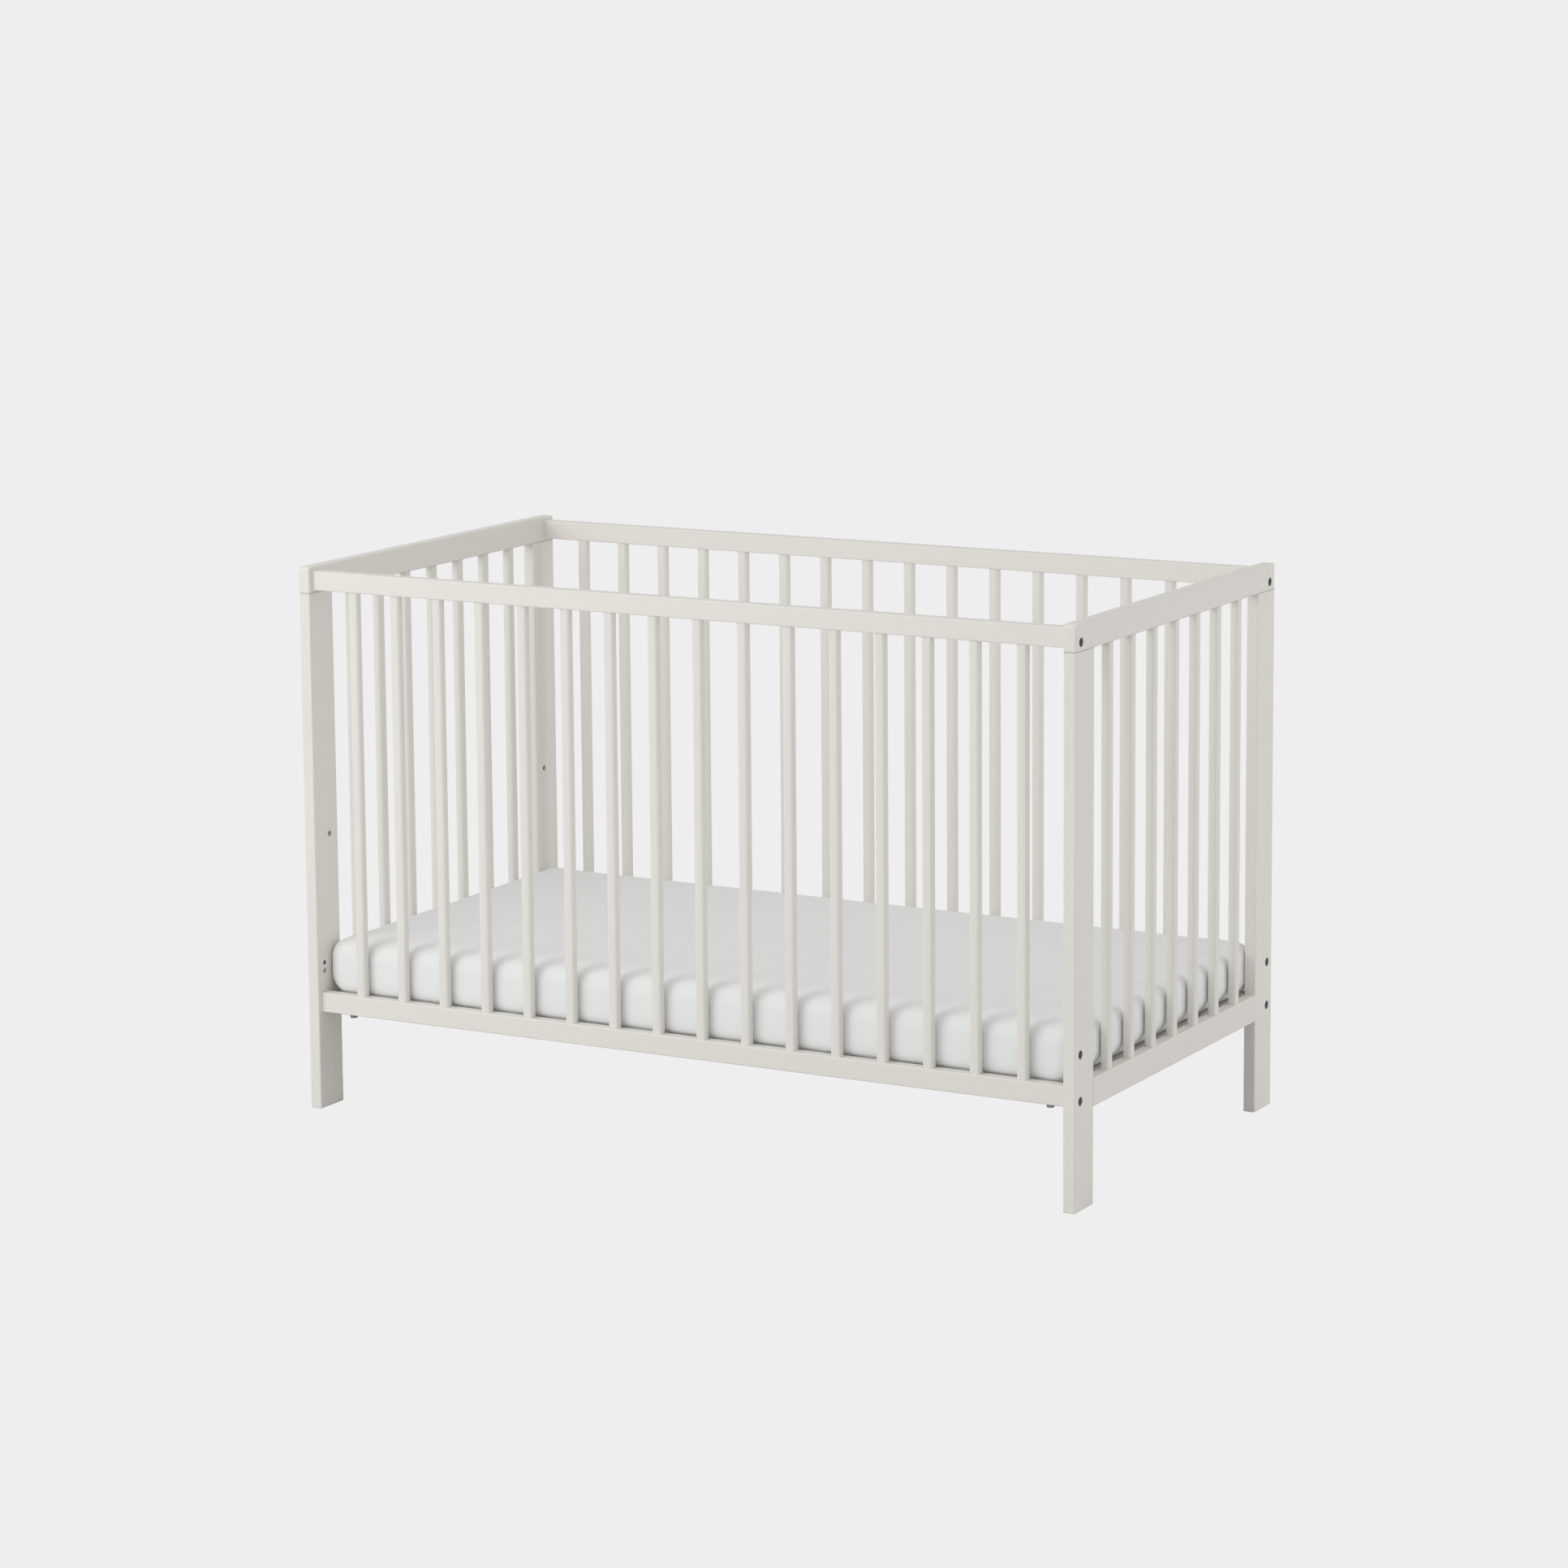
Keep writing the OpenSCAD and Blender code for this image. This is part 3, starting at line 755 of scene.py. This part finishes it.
# %% Blow it up
FRAMES = 20
PRESSURE = 4
before = points_of(mattress.data)
cloth = mattress.modifiers.new("cloth", "CLOTH")
cloth.settings.use_pressure = True
cloth.settings.uniform_pressure_force = PRESSURE
cloth.settings.effector_weights.gravity = 0
cloth.settings.quality = 4
for step in range(FRAMES):
    scene.frame_set(step + 1)
pick(mattress)
bpy.ops.object.modifier_apply(modifier="cloth")
scene.frame_set(1)
moved = points_of(mattress.data) - before
reach = np.linalg.norm(moved, axis=1, keepdims=True)
limited = moved * SWELL * np.tanh(reach / SWELL) / np.maximum(reach, 1e-9)
after = before + limited
lowest = soft_low.z + UNDER
after[:, 2] = np.clip(after[:, 2], lowest, soft_high.z - CLOTH_ROOM)


def recess(radius, height):
    """How far a rounded lower edge draws back from the side, at a height above the underside."""
    up = np.clip(radius - height, 0, radius)
    return radius - np.sqrt(radius**2 - up**2)


# The lower edges differ from the upper ones: near the base the ends draw back further, the sides less.
DRAWN_OVER = 4 * END_R  # the change fades out this far in from the side
for axis, half, radius in ((0, soft_high.x, END_R), (1, soft_high.y, SIDE_R)):
    extra = recess(radius, after[:, 2] - lowest) - recess(TOP_R, after[:, 2] - lowest)
    near_side = np.clip((np.abs(after[:, axis]) - half + DRAWN_OVER) / DRAWN_OVER, 0, 1)
    after[:, axis] -= np.sign(after[:, axis]) * extra * near_side

LEG_EDGE, LEG_STOP = 0.272, 0.5995  # the legs' inner faces keep the block's ends flatter near its corners
FLAT_BEFORE, FLAT_WITHIN = 22 * MM, 16 * MM  # it begins that far before a leg's edge, over that distance
BULGE = 3 * MM  # how much further the ends may stand between the legs
beside_leg = np.clip((np.abs(after[:, 1]) - LEG_EDGE + FLAT_BEFORE) / FLAT_WITHIN, 0, 1)
stop = LEG_STOP + (1 - beside_leg) * BULGE
after[:, 0] = np.clip(after[:, 0], -stop, stop)
put_points(mattress.data, after)
kept = np.linalg.norm(limited, axis=1).max()
print("largest move", round(float(reach.max() / MM), 1), "mm, kept", round(float(kept / MM), 1))

# %% [markdown]
# ## The fitted sheet
# The sheet is cut as a rectangle with its corners sewn into boxes, pulled over the mattress, and gathered
# underneath by elastic. It is one cloth, so it is made from the block's own skin: the skin is let out by
# the cloth's thickness, an opening with round corners is cut below, the return under the mattress is
# divided finer, and its edge is drawn into waves before the cloth is given its thickness.

# %% Skin and opening
RETURN = 70 * MM  # how far the sheet reaches under the mattress
pick(mattress)
bpy.ops.object.duplicate()
sheet = bpy.context.object
sheet.name = sheet.data.name = "sheet_cloth"

centre = (soft_low + soft_high) / 2
half_open = Vector(((soft_high.x - soft_low.x) / 2 - RETURN, (soft_high.y - soft_low.y) / 2 - RETURN))
OPEN_CORNER = 60 * MM


def past_hem(x, y):
    """Distance from the hem, positive under the mattress's edge and negative inside the opening."""
    dx = abs(x - centre.x) - half_open.x + OPEN_CORNER
    dy = abs(y - centre.y) - half_open.y + OPEN_CORNER
    return math.hypot(max(dx, 0), max(dy, 0)) + min(max(dx, dy), 0) - OPEN_CORNER


with editing(sheet) as mesh:
    bpy.ops.mesh.select_all(action="SELECT")
    bpy.ops.transform.shrink_fatten(value=SKIN)
    count = choose(sheet, mesh, lambda m, n: n.z < -0.7 and past_hem(m.x, m.y) < 0)
    bpy.ops.mesh.delete(type="FACE")
    band = choose(sheet, mesh, lambda m, n: n.z < -0.8)
    bpy.ops.mesh.subdivide(number_cuts=2)
print("opening of", count, "faces; return of", band, "faces before dividing")

# %% Gathers and small pulls
GATHER = 27 * MM  # from one wave of the hem to the next
WAVE_HEIGHT, PULL_HEIGHT = 1.1 * MM, 0.7 * MM


def gathered(x, y):
    """Where the hem's waves lift or drop a point of the return."""
    hem = past_hem(x, y)
    near = max(0.0, 1 - hem / (0.8 * RETURN)) ** 1.4
    around = math.atan2((y - centre.y) * 2, x - centre.x) * 0.9
    path = x - y if abs(abs(x) - half_open.x) > abs(abs(y) - half_open.y) else y + x
    wave = math.sin(path / GATHER * math.tau + 2.2 * noise.noise(Vector((x * 9, y * 9, around))))
    return near * (0.6 + 0.4 * noise.noise(Vector((x * 22, y * 22, 3.1)))) * wave * WAVE_HEIGHT


def pulled(x, y, z):
    """The faint pulls of stretched cloth, strongest towards the corners."""
    corner = Vector(((soft_high.x - abs(x)), (soft_high.y - abs(y)), 0)).length
    close = math.exp(-corner / 0.13)
    slow = noise.noise(Vector((x * 3.1, y * 3.1, z * 6)))
    fan = math.atan2(soft_high.y - abs(y) + 0.02, soft_high.x - abs(x) + 0.02)
    return (0.5 * slow + close * 0.9 * math.sin(fan * 19 + 3 * slow)) * PULL_HEIGHT


points = points_of(sheet.data)
normals = np.empty(len(points) * 3, np.float32)
sheet.data.vertices.foreach_get("normal", normals)
normals = normals.reshape(-1, 3)
for i, (point, normal) in enumerate(zip(points, normals)):
    if normal[2] < -0.7 and point[2] < lowest + 3 * MM:
        points[i, 2] += gathered(*point[:2])
    else:
        points[i] += normal * pulled(*point)
put_points(sheet.data, points)

# %% Thickness and hem
hem_group = sheet.vertex_groups.new(name="hem")
for vertex in sheet.data.vertices:
    on_hem = vertex.co.z < lowest + 2 * MM and past_hem(vertex.co.x, vertex.co.y) < 11 * MM
    hem_group.add([vertex.index], 1.0 if on_hem else 0.4, "REPLACE")
finish_with(
    sheet, "SOLIDIFY", thickness=1.6 * MM, offset=0.0, vertex_group="hem", thickness_vertex_group=0.0
)
points = points_of(sheet.data)
points[:, 2] = np.maximum(points[:, 2], soft_low.z)
put_points(sheet.data, points)
for piece in (mattress, sheet):
    pick(piece)
    bpy.ops.object.shade_smooth()
low, high = points_of(sheet.data).min(0), points_of(sheet.data).max(0)
print("sheet from", low.round(4), "to", high.round(4), "in", len(sheet.data.polygons), "faces")

# %% [markdown]
# ## Cotton and cover cloth
# The sheet is a fine plain weave: one thread over, one under, in both directions. Weave has to follow the
# cloth, so each face gets its own flat coordinates, in metres, taken from the side that it faces. The
# mattress's own cover is a thicker knit with quilted diamonds.


# %% Flat coordinates
def lay_flat(piece):
    """Writes a UV map in metres: every face is seen straight on, from the axis that it faces most."""
    mesh = piece.data
    layer = mesh.uv_layers.new(name="cloth")
    for face in mesh.polygons:
        most = max(range(3), key=lambda i: abs(face.normal[i]))
        pair = [i for i in range(3) if i != most]
        for loop in face.loop_indices:
            point = mesh.vertices[mesh.loops[loop].vertex_index].co
            layer.data[loop].uv = (point[pair[0]], point[pair[1]])


# %% Woven cotton
def woven(name, thread_width, colour, shade, depth, quilt=0.0):
    """A plain weave. quilt is the spacing of its sewn diamonds, or 0 for none."""
    finish = Finish(name, IOR=1.45, Specular_IOR_Level=0.2, Sheen_Weight=0.25, Sheen_Roughness=0.5)
    flat = finish.node("ShaderNodeUVMap", {"uv_map": "cloth"})
    along_u, along_v, _ = finish.split(flat)
    rate = math.pi / thread_width
    over = (along_u * rate).sine() * (along_v * rate).sine() * 0.5 + 0.5
    slub = finish.speckle((240, 240, 240), detail=3.0)
    cloud = finish.speckle((5, 5, 5))
    height = over * 0.7 + slub * 0.3
    if quilt:
        lines = [((along_u + along_v * s) * (math.pi / quilt)).sine() ** 2 for s in (1, -1)]
        height = height * 0.15 + lines[0].sum_with("MINIMUM", *lines) ** 0.4
    worn = over * 0.25 + slub * 0.2 + cloud * 0.3
    return finish.surface(
        Base_Color=finish.tint(worn, colour, shade),
        Roughness=0.82 + slub * 0.1,
        Normal=finish.bump(height, depth),
    )


COTTON = woven("white_cotton_percale", 0.9 * MM, (0.900, 0.918, 0.910), (0.850, 0.870, 0.864), 0.12 * MM)
TICKING = woven("quilted_cover", 1.6 * MM, (0.80, 0.79, 0.76), (0.70, 0.69, 0.66), 1.2 * MM, quilt=60 * MM)
for piece in (mattress, sheet):
    lay_flat(piece)
fit_out([mattress], "mattress", "mattress_cover", TICKING, "mattress")
fit_out([sheet], "mattress", "sheet_cotton", COTTON, "fitted_sheet")

box_height = (soft_high.z - soft_low.z) + RETURN
cut_size = (soft_high.y - soft_low.y + 2 * box_height, soft_high.x - soft_low.x + 2 * box_height)
cut_size[0] * cut_size[1] - 4 * box_height**2
print("sheet cut", [round(v, 3) for v in cut_size], "m")
